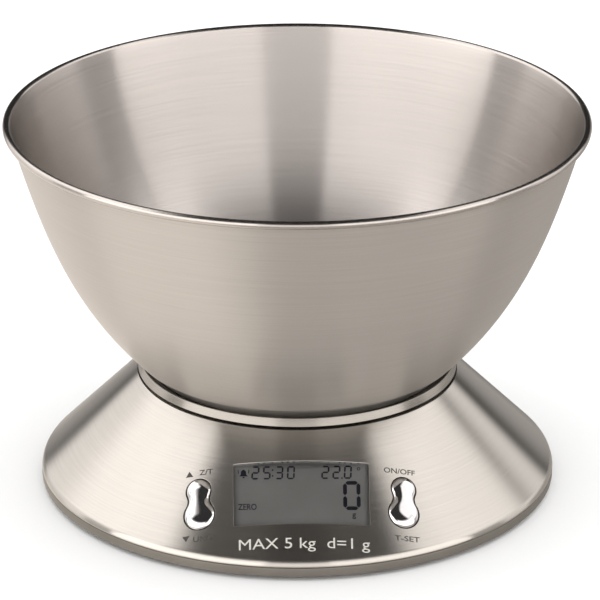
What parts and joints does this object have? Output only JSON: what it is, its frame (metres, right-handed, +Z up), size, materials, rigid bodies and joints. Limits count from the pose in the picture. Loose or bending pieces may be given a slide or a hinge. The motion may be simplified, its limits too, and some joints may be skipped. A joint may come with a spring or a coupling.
{
  "type": "kitchen scale",
  "caption": "Round digital kitchen scale with a cone-shaped steel base, front display, rocker keys and a deep lift-off mixing bowl.",
  "frame": {"origin": "on the table under the centre of the round base", "axes": "+Z up, +X to the right as seen from the front; the display and keys face -Y"},
  "size_m": [0.2198, 0.2198, 0.145],
  "materials": {
    "brushed_steel": "fine circular brushing",
    "bright_steel": "bright plated steel",
    "chrome": "mirror plating",
    "silver_plastic": "satin silver paint on ABS",
    "dark_plastic": "moulded ABS",
    "clear_plastic": "clear moulded acrylic",
    "lcd_glass": "grey reflective liquid-crystal panel",
    "rubber": "matt elastomer",
    "sealant": "white silicone",
    "board": "solder-masked board",
    "black_plastic": "moulded black plastic",
    "red_plastic": "wire insulation",
    "aluminium": "anodised bar",
    "battery_wrap": "printed sleeve, plain"
  },
  "bodies": {
    "base": {"top_cover": "brushed_steel", "cell_base_screw_1": "bright_steel", "cell_base_screw_2": "bright_steel", "overload_stop": "bright_steel", "board_screw_1": "bright_steel", "board_screw_2": "bright_steel", "board_screw_3": "bright_steel", "board_screw_4": "bright_steel", "quartz_crystal": "bright_steel", "left_pivot_pin": "bright_steel", "right_pivot_pin": "bright_steel", "housing_screw_1": "bright_steel", "housing_screw_2": "bright_steel", "housing_screw_3": "bright_steel", "housing_screw_4": "bright_steel", "contact_bridge": "bright_steel", "contact_plus": "bright_steel", "contact_minus": "bright_steel", "bottom_housing": "silver_plastic", "upper_housing": "dark_plastic", "lcd_bracket": "dark_plastic", "display_window": "clear_plastic", "lcd_panel": "lcd_glass", "foot_1": "rubber", "foot_2": "rubber", "foot_3": "rubber", "foot_4": "rubber", "zebra_strip": "rubber", "gauge_sealant": "sealant", "temperature_sensor": "sealant", "load_cell_lead": "sealant", "main_board": "board", "left_switch_board": "board", "right_switch_board": "board", "controller_chip": "black_plastic", "buzzer": "black_plastic", "left_upper_switch": "black_plastic", "left_lower_switch": "black_plastic", "right_upper_switch": "black_plastic", "right_lower_switch": "black_plastic", "battery_lead_black": "black_plastic", "battery_lead_red": "red_plastic", "load_cell": "aluminium", "battery_1": "battery_wrap", "battery_2": "battery_wrap"},
    "platform": {"platform_pan": "brushed_steel", "platform_carrier": "dark_plastic", "cell_top_screw_1": "bright_steel", "cell_top_screw_2": "bright_steel"},
    "bowl": {"bowl": "brushed_steel"},
    "left_key": {"left_rocker": "chrome"},
    "right_key": {"right_rocker": "chrome"},
    "door": {"battery_door": "silver_plastic"}
  },
  "joints": [
    {"name": "platform_press", "type": "slide", "parent": "base", "child": "platform", "axis": [0, 0, 1], "range_m": [-0.0005, 0], "stiffness_N_per_m": 40000, "springref_m": 0.0002, "deforming": ["load_cell"]},
    {"name": "bowl_lift", "type": "slide", "parent": "platform", "child": "bowl", "axis": [0, 0, 1], "range_m": [0, 0.12]},
    {"name": "left_key_rock", "type": "hinge", "parent": "base", "child": "left_key", "pos_m": [-0.03673, -0.07302, 0.01854], "axis": [0.948, -0.1983, 0.2488], "range_deg": [-2.5, 2.5], "stiffness_Nm_per_rad": 0.1},
    {"name": "right_key_rock", "type": "hinge", "parent": "base", "child": "right_key", "pos_m": [0.03673, -0.07302, 0.01854], "axis": [0.948, 0.1983, -0.2488], "range_deg": [-2.5, 2.5], "stiffness_Nm_per_rad": 0.1},
    {"name": "battery_door_swing", "type": "hinge", "parent": "base", "child": "door", "pos_m": [0, 0.0343, 0.0015], "axis": [-1, 0, 0], "range_deg": [0, 75]}
  ]
}
